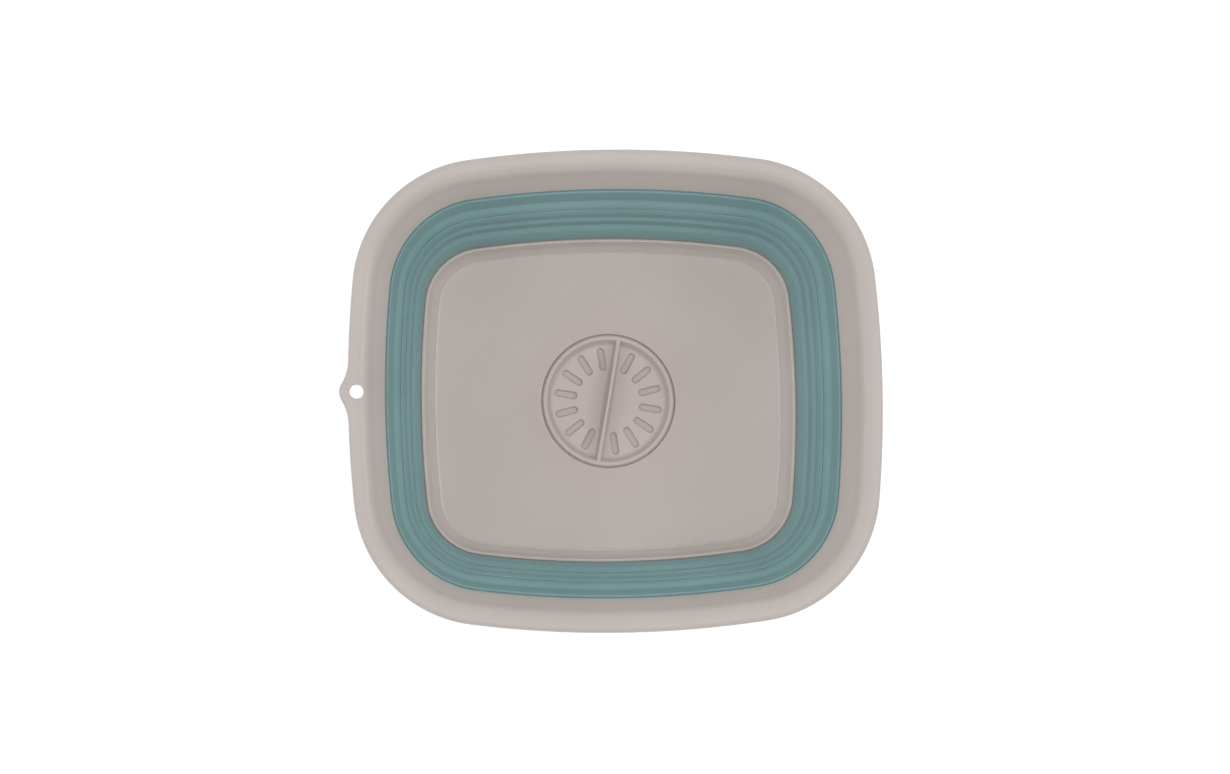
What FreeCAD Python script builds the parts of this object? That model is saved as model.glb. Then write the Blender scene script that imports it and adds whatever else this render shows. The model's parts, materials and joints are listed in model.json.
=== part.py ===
import FreeCAD, Part
import math
import os
from types import SimpleNamespace

import Sketcher

# Collapsible washing up bowl: a stiff rim with a hanging lug, a soft wall that folds
# at two living hinges, a stiff base tray with a drain well, and a strainer plug that
# carries the stopper for the outlet.
# Millimetres and degrees. +Z is up, X runs along the bowl and the lug is at -X.
# The origin is on the table, on the axis of the drain.
# Insets are measured in plan from the rim's outer edge, heights from the table.

DRIVING_SIZES = {
    # Plan outline of the rim: four bowed sides joined by round corners
    "rim_length": 374.0,
    "rim_width": 338.4,
    "short_side_radius": 813.0,
    "long_side_radius": 761.0,
    "corner_radius": 93.4,
    # Rim moulding
    "rim_depth": 31.0,
    "rim_inset": 24.7,
    "rim_wall": 2.2,
    "rim_skirt_depth": 9.0,
    "rim_roll_radius": 4.0,
    "rim_crest_width": 8.0,
    "rim_crest_radius": 12.0,
    "rim_flange_width": 15.5,
    "rim_flange_fall": 3.0,
    "rim_break_radius": 4.5,
    "rim_corner_share": 0.8,
    # Hanging lug on the rim
    "lug_hole_inset": 6.1,
    "lug_hole_radius": 4.9,
    "lug_nose_radius": 12.1,
    "lug_fillet_radius": 32.0,
    "lug_thickness": 3.0,
    "lug_drop": 0.3,
    "lug_root_inset": 6.0,
    "lug_relief_margin": 2.2,
    # Joints between the stiff mouldings and the soft wall
    "joint_thickness": 2.3,
    "tongue_thickness": 1.2,
    "tongue_depth": 5.0,
    "bead_depth": 7.0,
    # Soft wall, from the rim down
    "wall_thickness": 2.0,
    "fold_gap": 0.3,
    "upper_band_height": 18.4,
    "upper_band_inset": 10.65,
    "upper_lip_width": 1.5,
    "upper_lip_fall": 0.6,
    "upper_steep_height_share": 0.65,
    "upper_steep_inset_share": 0.36,
    "upper_foot_share": 0.9,
    "upper_heel_share": 0.5,
    "middle_band_height": 29.2,
    "middle_band_inset": 7.1,
    "middle_ledge_width": 2.0,
    "middle_ledge_fall": 1.0,
    "crease_height_share": 0.5,
    "lower_band_height": 20.4,
    "lower_band_inset": 7.75,
    "lower_shoulder_inset_share": 0.5,
    "lower_shoulder_height_share": 0.15,
    "shoulder_radius": 3.0,
    # Base tray
    "base_height": 26.0,
    "floor_height": 14.0,
    "floor_thickness": 2.2,
    "base_slope_inset": 9.8,
    "base_land_width": 1.4,
    "base_land_radius": 0.8,
    "floor_round_radius": 9.0,
    "foot_wall": 2.2,
    "foot_draft_inset": 2.5,
    "base_crotch_depth": 3.8,
    # Drain well in the tray
    "well_wall": 2.0,
    "well_floor_height": 4.0,
    "well_floor_thickness": 2.0,
    "outlet_radius": 13.0,
    "seat_clearance": 1.0,
    # Strainer plug
    "strainer_radius": 48.2,
    "strainer_gap": 0.8,
    "ring_width": 3.0,
    "ring_rise": 0.8,
    "ring_edge_radius": 1.2,
    "ring_skirt_depth": 4.0,
    "dish_slope_width": 3.2,
    "dish_depth": 5.3,
    "dish_thickness": 1.4,
    "strainer_rest_gap": 0.3,
    "slot_inner_radius": 23.3,
    "slot_edge_margin": 2.3,
    "slot_width": 4.8,
    "slot_pitch": 24.0,
    "slots_per_side": 7,
    "bar_end_width": 5.6,
    "bar_middle_width": 7.8,
    "bar_ridge_width": 2.2,
    "bar_end_drop": 0.6,
    "bar_rise": 5.5,
    "bar_angle": 10.1,
    # Stopper under the strainer
    "pin_radius": 4.0,
    "running_clearance": 0.05,
    "stopper_overlap": 6.0,
    "stopper_edge_height": 1.4,
    "stopper_shoulder_width": 4.0,
    "stopper_play": 0.3,
    "retainer_width": 3.5,
    "retainer_thickness": 1.3,
    # Every cut runs this far past the solid
    "cut_overrun": 1.0,
}

SHEET_NAME = "Sizes"
XY = "XY_Plane"
XZ = "XZ_Plane"
# A sketch's own numbers for its axes and for the points of a line or arc
X_AXIS, Y_AXIS = range(-1, -3, -1)
START, END, CENTER = range(1, 4)
ORIGIN = (X_AXIS, START)
Z_DIRECTION = FreeCAD.Vector(0, 0, 1)


class Size:
    """A size that carries its number and the sheet formula that gives it."""

    def __init__(self, value, formula):
        self.value = value
        self.formula = formula

    def __add__(self, other):
        other = as_size(other)
        return Size(self.value + other.value, f"({self.formula} + {other.formula})")

    def __sub__(self, other):
        other = as_size(other)
        return Size(self.value - other.value, f"({self.formula} - {other.formula})")

    def __mul__(self, other):
        other = as_size(other)
        return Size(self.value * other.value, f"({self.formula} * {other.formula})")

    def __truediv__(self, other):
        other = as_size(other)
        return Size(self.value / other.value, f"({self.formula} / {other.formula})")

    def __neg__(self):
        return Size(-self.value, f"(0 - {self.formula})")


def as_size(number):
    if isinstance(number, Size):
        return number
    return Size(number, str(number))


doc = FreeCAD.newDocument("CollapsibleBowl")
sheet = doc.addObject("Spreadsheet::Sheet", SHEET_NAME)
for row, (name, number) in enumerate(DRIVING_SIZES.items(), start=1):
    sheet.set(f"A{row}", name)
    sheet.set(f"B{row}", str(number))
    sheet.setAlias(f"B{row}", name)
doc.recompute()
size = SimpleNamespace(
    **{name: Size(number, f"{SHEET_NAME}.{name}") for name, number in DRIVING_SIZES.items()}
)
ZERO = as_size(0)

# Plan of the rim
half_length = size.rim_length / 2
half_width = size.rim_width / 2

# Insets of the joints and folds, from the rim inwards
upper_joint_inset = size.rim_inset
upper_fold_inset = upper_joint_inset + size.upper_band_inset
lower_fold_inset = upper_fold_inset + size.middle_band_inset
lower_joint_inset = lower_fold_inset + size.lower_band_inset
floor_inset = lower_joint_inset + size.base_slope_inset

# Heights of the joints and folds, from the table up
lower_joint_height = size.base_height
lower_fold_height = lower_joint_height + size.lower_band_height
upper_fold_height = lower_fold_height + size.middle_band_height
upper_joint_height = upper_fold_height + size.upper_band_height
rim_height = upper_joint_height + size.rim_depth

# Places on the joints
half_gap = size.fold_gap / 2
tongue_margin = (size.joint_thickness - size.tongue_thickness) / 2
upper_joint_outer = upper_joint_inset - size.joint_thickness
lower_joint_outer = lower_joint_inset - size.joint_thickness

# Soft wall between the lower fold and the base tray, and the tongue that follows its lean
lower_fold_edge = lower_fold_inset + half_gap
shoulder_inset = lower_fold_edge + size.lower_band_inset * size.lower_shoulder_inset_share
shoulder_height = lower_fold_height - size.lower_band_height * size.lower_shoulder_height_share
lower_lean = (lower_joint_inset - shoulder_inset) / (shoulder_height - lower_joint_height)
lower_tongue_lean = lower_lean * size.tongue_depth
lower_tongue_end = lower_joint_height + size.tongue_depth

# Radii in the drain
well_radius = size.strainer_radius + size.strainer_gap
dish_radius = size.strainer_radius - size.ring_width - size.dish_slope_width
slot_outer_radius = dish_radius - size.slot_edge_margin
stopper_radius = size.outlet_radius + size.stopper_overlap
seat_radius = stopper_radius + size.seat_clearance

# Heights in the drain
ring_height = size.floor_height + size.ring_rise
dish_height = ring_height - size.dish_depth
dish_underside = dish_height - size.dish_thickness
shelf_height = dish_underside - size.strainer_rest_gap
stopper_top = dish_underside - size.stopper_play
retainer_top = size.well_floor_height - size.stopper_play
pin_end = retainer_top - size.retainer_thickness


def vector(x, y):
    return FreeCAD.Vector(x, y, 0)


def new_body(label):
    body = doc.addObject("PartDesign::Body", label)
    body.Label = label
    return body


def new_sketch(body, name, role, height=None):
    """A sketch on one of the body's own origin planes, raised along the plane's normal."""
    sketch = body.newObject("Sketcher::SketchObject", name)
    plane = [feature for feature in body.Origin.OriginFeatures if feature.Role == role][0]
    sketch.AttachmentSupport = (plane, [""])
    sketch.MapMode = "FlatFace"
    if height is not None:
        sketch.AttachmentOffset = FreeCAD.Placement(
            FreeCAD.Vector(0, 0, height.value), FreeCAD.Rotation()
        )
        sketch.setExpression("AttachmentOffset.Base.z", height.formula)
    return sketch


def bind(sketch, *definition, to):
    """Adds a dimension to the sketch and ties it to the sheet."""
    index = sketch.addConstraint(Sketcher.Constraint(*definition, to.value))
    sketch.setExpression(f"Constraints[{index}]", to.formula)


def place_point(sketch, geometry, end, x, y):
    """Ties a point of the sketch to its two distances from the origin."""
    for kind, axis, distance in (("DistanceX", Y_AXIS, x), ("DistanceY", X_AXIS, y)):
        if distance.value == 0:
            sketch.addConstraint(Sketcher.Constraint("PointOnObject", geometry, end, axis))
        elif distance.value > 0:
            bind(sketch, kind, *ORIGIN, geometry, end, to=distance)
        else:
            bind(sketch, kind, geometry, end, *ORIGIN, to=-distance)


def add_arc(sketch, center, radius, start_angle, end_angle):
    circle = Part.Circle(center, Z_DIRECTION, radius)
    return sketch.addGeometry(Part.ArcOfCircle(circle, start_angle, end_angle), False)


def add_circle(sketch, x, y, radius):
    circle = Part.Circle(vector(x.value, y.value), Z_DIRECTION, radius.value)
    index = sketch.addGeometry(circle, False)
    place_point(sketch, index, CENTER, x, y)
    bind(sketch, "Radius", index, to=radius)


def direction_angle(center, point):
    return math.atan2(point.y - center.y, point.x - center.x)


def rounded_corner(before, corner, after, radius):
    """Where a round of this radius leaves the first side, joins the second, and its centre."""
    to_before = (before - corner).normalize()
    to_after = (after - corner).normalize()
    half_angle = to_before.getAngle(to_after) / 2
    cut = radius / math.tan(half_angle)
    middle = (to_before + to_after).normalize()
    center = corner + middle * (radius / math.sin(half_angle))
    return corner + to_before * cut, corner + to_after * cut, center


def draw_outline(sketch, corners):
    """A closed outline of straight sides. A corner is (x, y) or (x, y, radius of its round)."""
    points = [vector(corner[0].value, corner[1].value) for corner in corners]
    count = len(points)
    entries = list(points)
    exits = list(points)
    centers = {}
    for index, corner in enumerate(corners):
        if len(corner) == 3:
            entries[index], exits[index], centers[index] = rounded_corner(
                points[index - 1], points[index], points[(index + 1) % count], corner[2].value
            )
    sides = []
    for index in range(count):
        side = Part.LineSegment(exits[index], entries[(index + 1) % count])
        sides.append(sketch.addGeometry(side, False))
    for index, corner in enumerate(corners):
        side_in = sides[index - 1]
        side_out = sides[index]
        if index not in centers:
            sketch.addConstraint(Sketcher.Constraint("Coincident", side_in, END, side_out, START))
            place_point(sketch, side_out, START, corner[0], corner[1])
            continue
        run_in = points[index] - points[index - 1]
        run_out = points[(index + 1) % count] - points[index]
        turns_left = run_in.cross(run_out).z > 0
        start, end = (entries[index], exits[index]) if turns_left else (exits[index], entries[index])
        entry_end, exit_end = (START, END) if turns_left else (END, START)
        center = centers[index]
        start_angle = direction_angle(center, start)
        end_angle = direction_angle(center, end)
        arc = add_arc(sketch, center, corner[2].value, start_angle, end_angle)
        sketch.addConstraint(Sketcher.Constraint("Tangent", side_in, END, arc, entry_end))
        sketch.addConstraint(Sketcher.Constraint("Tangent", arc, exit_end, side_out, START))
        bind(sketch, "Radius", arc, to=corner[2])
        mark = sketch.addGeometry(Part.Point(points[index]), True)
        sketch.addConstraint(Sketcher.Constraint("PointOnObject", mark, START, side_in))
        sketch.addConstraint(Sketcher.Constraint("PointOnObject", mark, START, side_out))
        place_point(sketch, mark, START, corner[0], corner[1])


def corner_center():
    """Centre of the round that joins a short side to a long side, the same at every inset."""
    short_center = vector(half_length.value - size.short_side_radius.value, 0)
    long_center = vector(0, half_width.value - size.long_side_radius.value)
    short_reach = size.short_side_radius.value - size.corner_radius.value
    long_reach = size.long_side_radius.value - size.corner_radius.value
    between = long_center - short_center
    along = (short_reach**2 - long_reach**2 + between.Length**2) / (2 * between.Length)
    across = math.sqrt(short_reach**2 - along**2)
    between.normalize()
    return short_center + between * along + vector(-between.y, between.x) * across


def draw_plan(sketch, inset):
    """The bowl's plan outline, moved inwards: bowed sides with round corners, from +X around."""
    short_radius = size.short_side_radius - inset
    long_radius = size.long_side_radius - inset
    corner_radius = size.corner_radius - inset
    short_offset = size.short_side_radius - half_length
    long_offset = size.long_side_radius - half_width
    corner = corner_center()
    short_turn = math.atan2(corner.y, corner.x + short_offset.value)
    long_turn = math.atan2(corner.y + long_offset.value, corner.x)
    half = math.pi
    full = 2 * math.pi
    stretches = [
        (vector(-short_offset.value, 0), short_radius, 0, short_turn),
        (vector(corner.x, corner.y), corner_radius, short_turn, long_turn),
        (vector(0, -long_offset.value), long_radius, long_turn, half - long_turn),
        (vector(-corner.x, corner.y), corner_radius, half - long_turn, half - short_turn),
        (vector(short_offset.value, 0), short_radius, half - short_turn, half + short_turn),
        (vector(-corner.x, -corner.y), corner_radius, half + short_turn, half + long_turn),
        (vector(0, long_offset.value), long_radius, half + long_turn, full - long_turn),
        (vector(corner.x, -corner.y), corner_radius, full - long_turn, full - short_turn),
        (vector(-short_offset.value, 0), short_radius, full - short_turn, full),
    ]
    arcs = []
    for center, radius, start_angle, end_angle in stretches:
        arc = add_arc(sketch, center, radius.value, start_angle, end_angle)
        bind(sketch, "Radius", arc, to=radius)
        arcs.append(arc)
    for first, second in zip(arcs, arcs[1:]):
        sketch.addConstraint(Sketcher.Constraint("Tangent", first, END, second, START))
    place_point(sketch, arcs[0], CENTER, -short_offset, ZERO)
    place_point(sketch, arcs[2], CENTER, ZERO, -long_offset)
    place_point(sketch, arcs[4], CENTER, short_offset, ZERO)
    place_point(sketch, arcs[6], CENTER, ZERO, long_offset)
    place_point(sketch, arcs[8], CENTER, -short_offset, ZERO)
    sketch.addConstraint(Sketcher.Constraint("PointOnObject", arcs[0], START, X_AXIS))
    sketch.addConstraint(Sketcher.Constraint("PointOnObject", arcs[8], END, X_AXIS))


def sweep_section(body, section):
    """Carries a section, given as insets and heights, once around the bowl's plan."""
    path = new_sketch(body, "Plan", XY)
    draw_plan(path, ZERO)
    profile = new_sketch(body, "Section", XZ)
    draw_outline(profile, [(half_length - corner[0], *corner[1:]) for corner in section])
    sweep = body.newObject("PartDesign::AdditivePipe", "Sweep")
    sweep.Profile = profile
    sweep.Spine = path
    doc.recompute()
    return sweep


def add_pad(body, sketch, length):
    pad = body.newObject("PartDesign::Pad", "Pad")
    pad.Profile = sketch
    pad.setExpression("Length", length.formula)
    doc.recompute()
    return pad


def add_pocket(body, sketch):
    """Cuts the sketch downwards through everything and checks that material went."""
    before = body.Shape.Volume
    pocket = body.newObject("PartDesign::Pocket", "Pocket")
    pocket.Profile = sketch
    pocket.Type = "ThroughAll"
    doc.recompute()
    if body.Shape.Volume >= before:
        raise RuntimeError(f"{sketch.Label} of {body.Label} cuts nothing")
    return pocket


def add_turned(body, kind, name, section):
    """Turns a section, given as radii and heights, about the drain's axis."""
    sketch = new_sketch(body, name, XZ)
    draw_outline(sketch, section)
    turned = body.newObject(f"PartDesign::{kind}", name + "Turned")
    turned.Profile = sketch
    turned.ReferenceAxis = (sketch, ["V_Axis"])
    doc.recompute()
    return turned


def make_rim():
    body = new_body("rim")
    wall = size.rim_wall
    flange_height = rim_height - size.rim_flange_fall
    skirt_end = rim_height - size.rim_skirt_depth
    corner_shift = wall * size.rim_corner_share
    tongue_end = upper_joint_height - size.tongue_depth
    sweep_section(
        body,
        [
            (ZERO, skirt_end),
            (ZERO, rim_height, size.rim_roll_radius),
            (size.rim_crest_width, rim_height, size.rim_crest_radius),
            (size.rim_flange_width, flange_height, size.rim_break_radius),
            (upper_joint_inset, upper_joint_height),
            (upper_joint_inset - tongue_margin, upper_joint_height),
            (upper_joint_inset - tongue_margin, tongue_end),
            (upper_joint_outer + tongue_margin, tongue_end),
            (upper_joint_outer + tongue_margin, upper_joint_height),
            (upper_joint_outer, upper_joint_height),
            (
                size.rim_flange_width - corner_shift,
                flange_height - corner_shift,
                size.rim_break_radius - wall,
            ),
            (size.rim_crest_width, rim_height - wall, size.rim_crest_radius - wall),
            (wall, rim_height - wall, size.rim_roll_radius - wall),
            (wall, skirt_end),
        ],
    )
    plate_underside = rim_height - size.lug_drop - size.lug_thickness
    relief_half = size.lug_hole_radius + size.lug_relief_margin
    relief_outer = -half_length - size.cut_overrun
    relief_inner = size.rim_roll_radius - half_length
    relief = new_sketch(body, "LugRelief", XY, plate_underside + size.lug_thickness / 2)
    draw_outline(
        relief,
        [
            (relief_outer, -relief_half),
            (relief_inner, -relief_half),
            (relief_inner, relief_half),
            (relief_outer, relief_half),
        ],
    )
    add_pocket(body, relief)
    plate = new_sketch(body, "LugPlate", XY, plate_underside)
    draw_lug(plate)
    add_pad(body, plate, size.lug_thickness)
    hole_x = size.lug_hole_inset - half_length
    hole = new_sketch(body, "LugHole", XY, rim_height + size.cut_overrun)
    add_circle(hole, hole_x, ZERO, size.lug_hole_radius)
    add_pocket(body, hole)
    return body


def draw_lug(sketch):
    """A round nose about the hole that runs into the rim's short side by two hollow rounds."""
    hole_x = size.lug_hole_inset - half_length
    root_x = size.lug_root_inset - half_length
    side_x = size.short_side_radius - half_length
    hole = vector(hole_x.value, 0)
    side = vector(side_x.value, 0)
    side_reach = size.short_side_radius.value + size.lug_fillet_radius.value
    nose_reach = size.lug_nose_radius.value + size.lug_fillet_radius.value
    between = side.x - hole.x
    along = (side_reach**2 - nose_reach**2 + between**2) / (2 * between)
    fillet_x = side.x - along
    fillet_y = math.sqrt(side_reach**2 - along**2)
    upper = vector(fillet_x, fillet_y)
    lower = vector(fillet_x, -fillet_y)
    fillet = size.lug_fillet_radius.value
    upper_out = direction_angle(upper, side)
    upper_nose = direction_angle(upper, hole)
    lower_out = direction_angle(lower, side)
    lower_nose = direction_angle(lower, hole)
    nose_start = direction_angle(hole, upper)
    nose_end = direction_angle(hole, lower) + 2 * math.pi
    nose = add_arc(sketch, hole, size.lug_nose_radius.value, nose_start, nose_end)
    upper_arc = add_arc(sketch, upper, fillet, upper_nose, upper_out)
    lower_arc = add_arc(sketch, lower, fillet, lower_out, lower_nose)
    upper_end = upper + (side - upper).normalize() * fillet
    lower_end = lower + (side - lower).normalize() * fillet
    corners = [
        lower_end,
        vector(root_x.value, lower_end.y),
        vector(root_x.value, upper_end.y),
        upper_end,
    ]
    lines = [
        sketch.addGeometry(Part.LineSegment(first, second), False)
        for first, second in zip(corners, corners[1:])
    ]
    rim_circle = Part.Circle(side, Z_DIRECTION, size.short_side_radius.value)
    rim_edge = sketch.addGeometry(rim_circle, True)
    place_point(sketch, rim_edge, CENTER, side_x, ZERO)
    bind(sketch, "Radius", rim_edge, to=size.short_side_radius)
    place_point(sketch, nose, CENTER, hole_x, ZERO)
    bind(sketch, "Radius", nose, to=size.lug_nose_radius)
    for arc, rim_end in ((upper_arc, END), (lower_arc, START)):
        bind(sketch, "Radius", arc, to=size.lug_fillet_radius)
        sketch.addConstraint(Sketcher.Constraint("Tangent", arc, rim_end, rim_edge))
    sketch.addConstraint(Sketcher.Constraint("Tangent", upper_arc, START, nose, START))
    sketch.addConstraint(Sketcher.Constraint("Tangent", nose, END, lower_arc, END))
    sketch.addConstraint(Sketcher.Constraint("Coincident", lower_arc, START, lines[0], START))
    sketch.addConstraint(Sketcher.Constraint("Coincident", lines[0], END, lines[1], START))
    sketch.addConstraint(Sketcher.Constraint("Coincident", lines[1], END, lines[2], START))
    sketch.addConstraint(Sketcher.Constraint("Coincident", lines[2], END, upper_arc, END))
    sketch.addConstraint(Sketcher.Constraint("Horizontal", lines[0]))
    sketch.addConstraint(Sketcher.Constraint("Vertical", lines[1]))
    sketch.addConstraint(Sketcher.Constraint("Horizontal", lines[2]))
    bind(sketch, "DistanceX", lines[1], START, *ORIGIN, to=-root_x)


def make_upper_band():
    """Soft wall from the rim's tongue to the upper fold: a bead, a steep stretch and a shoulder."""
    body = new_body("upper_wall_band")
    wall = size.wall_thickness
    fold = upper_fold_inset - half_gap
    tongue_end = upper_joint_height - size.tongue_depth
    bead_end = upper_joint_height - size.bead_depth
    steep_inset = upper_joint_inset + size.upper_band_inset * size.upper_steep_inset_share
    steep_height = upper_joint_height - size.upper_band_height * size.upper_steep_height_share
    lip_inset = upper_joint_inset + size.upper_lip_width
    sweep_section(
        body,
        [
            (upper_joint_outer, upper_joint_height),
            (upper_joint_outer + tongue_margin, upper_joint_height),
            (upper_joint_outer + tongue_margin, tongue_end),
            (upper_joint_inset - tongue_margin, tongue_end),
            (upper_joint_inset - tongue_margin, upper_joint_height),
            (upper_joint_inset, upper_joint_height),
            (lip_inset, upper_joint_height - size.upper_lip_fall),
            (steep_inset, steep_height, size.shoulder_radius),
            (fold, upper_fold_height),
            (fold, upper_fold_height - wall),
            (
                steep_inset - wall * size.upper_foot_share,
                steep_height - wall * size.upper_heel_share,
                size.shoulder_radius + wall,
            ),
            (lip_inset - wall * size.upper_heel_share, bead_end),
            (upper_joint_outer, bead_end),
        ],
    )
    return body


def make_middle_band():
    """The stretch that turns over when the bowl folds, with a crease half way down."""
    body = new_body("middle_wall_band")
    wall = size.wall_thickness
    top_outer = upper_fold_inset + half_gap
    bottom_inner = lower_fold_inset - half_gap
    ledge = size.middle_ledge_width
    crease_height = lower_fold_height + size.middle_band_height * size.crease_height_share
    run = (bottom_inner - top_outer - ledge * 2) / 2
    crease_inset = top_outer + ledge + run
    sweep_section(
        body,
        [
            (top_outer, upper_fold_height),
            (top_outer + ledge, upper_fold_height - size.middle_ledge_fall),
            (crease_inset, crease_height),
            (crease_inset + ledge, crease_height - size.middle_ledge_fall),
            (bottom_inner, lower_fold_height),
            (bottom_inner - ledge, lower_fold_height),
            (crease_inset + ledge - wall, crease_height - size.middle_ledge_fall - wall),
            (crease_inset - wall, crease_height - wall),
        ],
    )
    return body


def make_lower_band():
    """Soft wall from the lower fold to the base tray's tongue: a shoulder and a steep stretch."""
    body = new_body("lower_wall_band")
    wall = size.wall_thickness
    bead_lean = lower_lean * size.bead_depth
    bead_end = lower_joint_height + size.bead_depth
    sweep_section(
        body,
        [
            (lower_fold_edge, lower_fold_height),
            (shoulder_inset, shoulder_height, size.shoulder_radius),
            (lower_joint_inset, lower_joint_height),
            (lower_joint_inset - tongue_margin, lower_joint_height),
            (lower_joint_inset - tongue_margin - lower_tongue_lean, lower_tongue_end),
            (lower_joint_outer + tongue_margin - lower_tongue_lean, lower_tongue_end),
            (lower_joint_outer + tongue_margin, lower_joint_height),
            (lower_joint_outer, lower_joint_height),
            (lower_joint_outer - bead_lean, bead_end),
            (shoulder_inset - wall, shoulder_height - wall, size.shoulder_radius - wall),
            (lower_fold_edge, lower_fold_height - wall),
        ],
    )
    return body


def make_base_tray():
    """Floor with a sloped edge on a foot, and a drain well with a shelf for the strainer and a seat."""
    body = new_body("base_tray")
    wall = size.floor_thickness
    floor_underside = size.floor_height - wall
    floor_edge = floor_inset + size.floor_round_radius
    foot_outer = lower_joint_outer + size.foot_draft_inset
    crotch_height = lower_joint_height - size.base_crotch_depth
    sweep_section(
        body,
        [
            (lower_joint_outer, lower_joint_height),
            (lower_joint_outer + tongue_margin, lower_joint_height),
            (lower_joint_outer + tongue_margin - lower_tongue_lean, lower_tongue_end),
            (lower_joint_inset - tongue_margin - lower_tongue_lean, lower_tongue_end),
            (lower_joint_inset - tongue_margin, lower_joint_height),
            (lower_joint_inset, lower_joint_height),
            (lower_joint_inset + size.base_land_width, lower_joint_height, size.base_land_radius),
            (floor_inset, size.floor_height, size.floor_round_radius),
            (floor_edge, size.floor_height),
            (floor_edge, floor_underside),
            (floor_inset - wall / 2, floor_underside, size.floor_round_radius + wall),
            (lower_joint_outer + size.foot_wall, crotch_height),
            (foot_outer + size.foot_wall, ZERO),
            (foot_outer, ZERO),
        ],
    )
    floor = new_sketch(body, "Floor", XY, floor_underside)
    draw_plan(floor, floor_inset + size.floor_round_radius / 2)
    add_pad(body, floor, wall)
    well_outer = well_radius + size.well_wall
    well_bottom = size.well_floor_height - size.well_floor_thickness
    shelf_underside = shelf_height - size.well_floor_thickness
    add_turned(
        body,
        "Revolution",
        "Well",
        [
            (ZERO, well_bottom),
            (seat_radius + size.well_wall, well_bottom),
            (seat_radius + size.well_wall, shelf_underside),
            (well_outer, shelf_underside),
            (well_outer, size.floor_height),
            (ZERO, size.floor_height),
        ],
    )
    before = body.Shape.Volume
    add_turned(
        body,
        "Groove",
        "WellHollow",
        [
            (ZERO, ZERO),
            (size.outlet_radius, ZERO),
            (size.outlet_radius, size.well_floor_height),
            (seat_radius, size.well_floor_height),
            (seat_radius, shelf_height),
            (well_radius, shelf_height),
            (well_radius, size.floor_height + size.cut_overrun),
            (ZERO, size.floor_height + size.cut_overrun),
        ],
    )
    if body.Shape.Volume >= before:
        raise RuntimeError("the drain well cuts nothing")
    return body


def make_strainer_cup():
    """Slotted dish with a raised ring, an arched bar to lift it by and a pin underneath."""
    body = new_body("strainer_cup")
    ring_inner = size.strainer_radius - size.ring_width
    add_turned(
        body,
        "Revolution",
        "Dish",
        [
            (ZERO, pin_end),
            (size.pin_radius, pin_end),
            (size.pin_radius, dish_underside),
            (dish_radius, dish_underside),
            (size.strainer_radius, ring_height - size.ring_skirt_depth),
            (size.strainer_radius, ring_height, size.ring_edge_radius),
            (ring_inner, ring_height, size.ring_edge_radius),
            (dish_radius, dish_height),
            (ZERO, dish_height),
        ],
    )
    add_slots(body)
    add_bar(body)
    body.Placement = FreeCAD.Placement(
        FreeCAD.Vector(), FreeCAD.Rotation(-Z_DIRECTION, size.bar_angle.value)
    )
    body.setExpression("Placement.Rotation.Angle", size.bar_angle.formula)
    doc.recompute()
    return body


def add_slots(body):
    """Radial slots on both sides of the bar, each pair cut together and repeated around."""
    sketch = new_sketch(body, "Slots", XY, ring_height + size.cut_overrun)
    spread = size.slot_pitch * (size.slots_per_side - 1)
    first_angle = spread / 2
    sketch.AttachmentOffset = FreeCAD.Placement(
        sketch.AttachmentOffset.Base, FreeCAD.Rotation(-Z_DIRECTION, first_angle.value)
    )
    sketch.setExpression("AttachmentOffset.Rotation.Angle", first_angle.formula)
    half_slot = size.slot_width / 2
    near = size.slot_inner_radius + half_slot
    far = slot_outer_radius - half_slot
    for side in (1, -1):
        draw_slot(sketch, near * side, far * side, half_slot, side)
    pocket = add_pocket(body, sketch)
    pattern = body.newObject("PartDesign::PolarPattern", "SlotPattern")
    pattern.Originals = [pocket]
    pattern.Axis = (sketch, ["N_Axis"])
    pattern.setExpression("Angle", spread.formula)
    pattern.setExpression("Occurrences", size.slots_per_side.formula)
    body.Tip = pattern
    doc.recompute()


def draw_slot(sketch, near, far, half_slot, side):
    """A slot along the sketch's X axis with a half round at each end."""
    radius = half_slot.value
    quarter = math.pi / 2
    outward = 0 if side > 0 else math.pi
    inward = math.pi - outward
    outer = add_arc(sketch, vector(far.value, 0), radius, outward - quarter, outward + quarter)
    inner = add_arc(sketch, vector(near.value, 0), radius, inward - quarter, inward + quarter)
    left = sketch.addGeometry(
        Part.LineSegment(vector(far.value, radius * side), vector(near.value, radius * side)), False
    )
    right = sketch.addGeometry(
        Part.LineSegment(vector(near.value, -radius * side), vector(far.value, -radius * side)), False
    )
    place_point(sketch, outer, CENTER, far, ZERO)
    place_point(sketch, inner, CENTER, near, ZERO)
    bind(sketch, "Radius", outer, to=half_slot)
    sketch.addConstraint(Sketcher.Constraint("Tangent", outer, END, left, START))
    sketch.addConstraint(Sketcher.Constraint("Tangent", left, END, inner, START))
    sketch.addConstraint(Sketcher.Constraint("Tangent", inner, END, right, START))
    sketch.addConstraint(Sketcher.Constraint("Tangent", right, END, outer, START))


def add_bar(body):
    """Lifting bar across the dish: widest and highest in the middle, sunk into the ring."""
    reach = size.strainer_radius - size.ring_width / 2
    foot = dish_height - size.dish_thickness / 2
    end_top = ring_height - size.bar_end_drop
    middle_top = ring_height + size.bar_rise
    sections = [
        (-reach, size.bar_end_width, end_top),
        (ZERO, size.bar_middle_width, middle_top),
        (reach, size.bar_end_width, end_top),
    ]
    sketches = []
    for index, (place, width, top) in enumerate(sections):
        sketch = new_sketch(body, f"BarSection{index}", XZ, place)
        half_foot = width / 2
        half_ridge = size.bar_ridge_width / 2
        draw_outline(
            sketch,
            [(-half_foot, foot), (half_foot, foot), (half_ridge, top), (-half_ridge, top)],
        )
        sketches.append(sketch)
    loft = body.newObject("PartDesign::AdditiveLoft", "Bar")
    loft.Profile = sketches[0]
    loft.Sections = sketches[1:]
    doc.recompute()


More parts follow.
